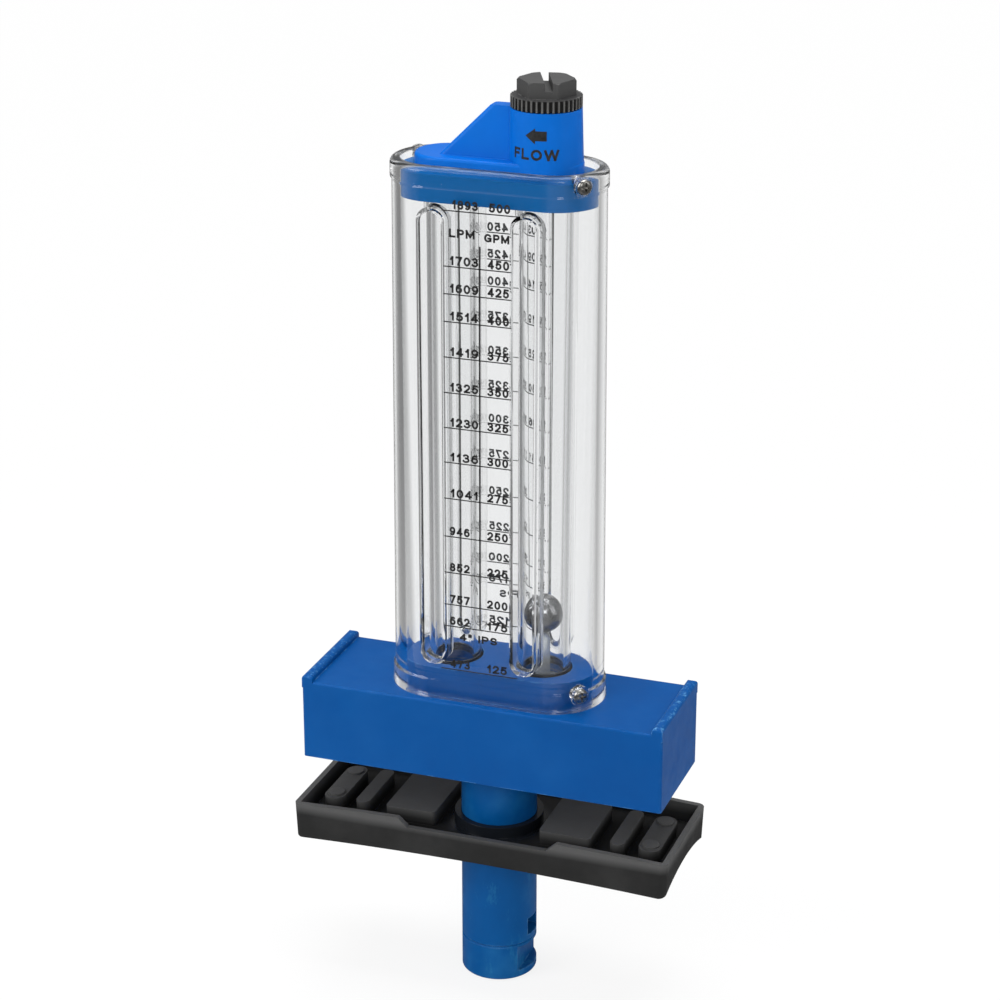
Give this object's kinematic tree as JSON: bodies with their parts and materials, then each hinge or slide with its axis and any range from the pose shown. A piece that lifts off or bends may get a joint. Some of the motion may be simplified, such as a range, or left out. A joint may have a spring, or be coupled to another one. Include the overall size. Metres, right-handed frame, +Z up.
{
  "type": "flow meter",
  "caption": "Clear variable-area flow meter on a saddle, with a pitot probe that goes into a pipe, a rising ball float and a removable top plug.",
  "frame": {"origin": "centre of the pitot probe's tip face, on the probe's axis", "axes": "+Z up the meter along the probe's axis, +X along the pipe towards the incoming flow, +Y to the back of the meter"},
  "size_m": [0.105, 0.037, 0.2478],
  "materials": {
    "blue_plastic": "semi-gloss moulded",
    "cap_plastic": "semi-gloss moulded",
    "clear_plastic": "clear polished",
    "stop_plastic": "natural translucent",
    "gasket_rubber": "matte",
    "black_rubber": "matte",
    "black_plastic": "satin",
    "ball_steel": "polished stainless",
    "screw_steel": "stainless"
  },
  "bodies": {
    "meter": {"saddle": "blue_plastic", "pitot_tube": "blue_plastic", "pitot_tip": "blue_plastic", "meter_body": "clear_plastic", "metering_seal_lower": "black_rubber", "return_seal_lower": "black_rubber", "metering_seal_upper": "black_rubber", "return_seal_upper": "black_rubber", "float_stop": "stop_plastic", "top_cap": "cap_plastic", "screw_lower_front": "screw_steel", "screw_lower_rear": "screw_steel", "screw_upper_front": "screw_steel", "screw_upper_rear": "screw_steel"},
    "float": {"float_ball": "ball_steel"},
    "gasket": {"saddle_gasket": "gasket_rubber"},
    "plug_ring": {"plug_seal": "black_rubber"},
    "plug": {"top_plug": "black_plastic"}
  },
  "joints": [
    {"name": "float_rise", "type": "slide", "parent": "meter", "child": "float", "axis": [0, 0, 1], "range_m": [0, 0.11]},
    {"name": "gasket_slide", "type": "slide", "parent": "meter", "child": "gasket", "axis": [0, 0, 1], "range_m": [-0.039, 0.0148]},
    {"name": "plug_lift", "type": "slide", "parent": "meter", "child": "plug_ring", "axis": [0, 0, 1], "range_m": [0, 0.006]},
    {"name": "plug_turn", "type": "hinge", "parent": "plug_ring", "child": "plug", "pos_m": [0.0123, 0, 0.24], "axis": [0, 0, 1], "range_deg": [0, 1440]}
  ],
  "couplings": [
    {"joint": "plug_turn", "follows": "plug_lift", "rad_per_m": 4180}
  ]
}
